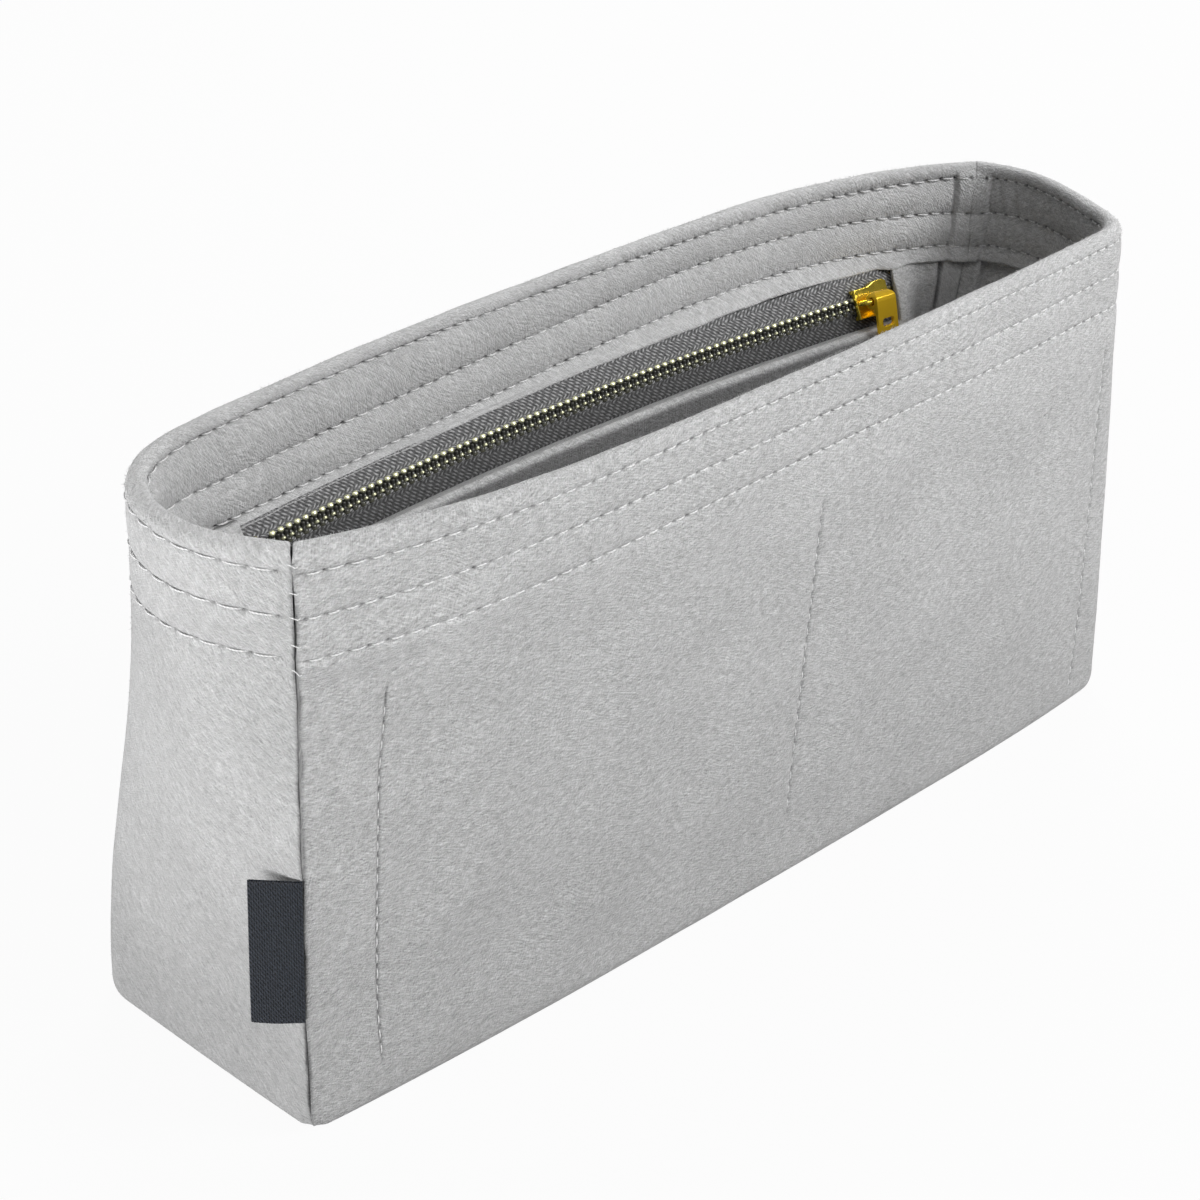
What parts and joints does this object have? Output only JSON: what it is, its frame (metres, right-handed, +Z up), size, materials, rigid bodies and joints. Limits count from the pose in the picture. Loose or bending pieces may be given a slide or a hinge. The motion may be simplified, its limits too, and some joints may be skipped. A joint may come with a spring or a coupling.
{
  "type": "purse organizer insert",
  "caption": "Upright open-topped felt liner for a small shoulder bag, with a hemmed rim, slip pockets on the front wall and a zipped pocket on the back wall.",
  "frame": {"origin": "middle of the base panel's underside, on the surface that the organizer stands on", "axes": "+X along the length towards the closed end of the zip, +Y towards the zipped back wall, +Z up out of the mouth"},
  "size_m": [0.2288, 0.0706, 0.1006],
  "materials": {
    "felt": "pressed grey felt with a fine, loosely combed surface",
    "zip_tape": "dark grey herringbone woven tape",
    "zip_teeth": "polished pale brass",
    "slider_gold": "bright gold plate",
    "label": "black satin weave"
  },
  "bodies": {
    "organizer": {"front_wrap": "felt", "back_wrap": "felt", "base_panel": "felt", "front_pocket_panel": "felt", "zip_pocket_panel": "felt", "upper_tape": "zip_tape", "lower_tape": "zip_tape", "upper_tooth_row": "zip_teeth", "lower_tooth_row": "zip_teeth", "upper_top_stop": "zip_teeth", "lower_top_stop": "zip_teeth", "bottom_stop": "zip_teeth"},
    "slider": {"slider_body": "slider_gold", "slider_bail": "slider_gold"},
    "pull": {"pull_tab": "slider_gold"},
    "label": {"label_tab": "label"}
  },
  "joints": [
    {"name": "zip_travel", "type": "hinge", "parent": "organizer", "child": "slider", "pos_m": [0.01992, -0.62183, 0.0761], "axis": [0, 0, 1], "range_deg": [0, 13.6], "deforming": ["upper_tooth_row", "lower_tooth_row"]},
    {"name": "pull_swing", "type": "hinge", "parent": "slider", "child": "pull", "pos_m": [0.08151, 0.01812, 0.07819], "axis": [-0.9948, 0.1018, 0], "range_deg": [0, 190]},
    {"name": "label_flap", "type": "hinge", "parent": "organizer", "child": "label", "pos_m": [-0.10514, -0.02829, 0.0332], "axis": [0.0579, 0.027, 0.998], "range_deg": [-12, 170]}
  ]
}
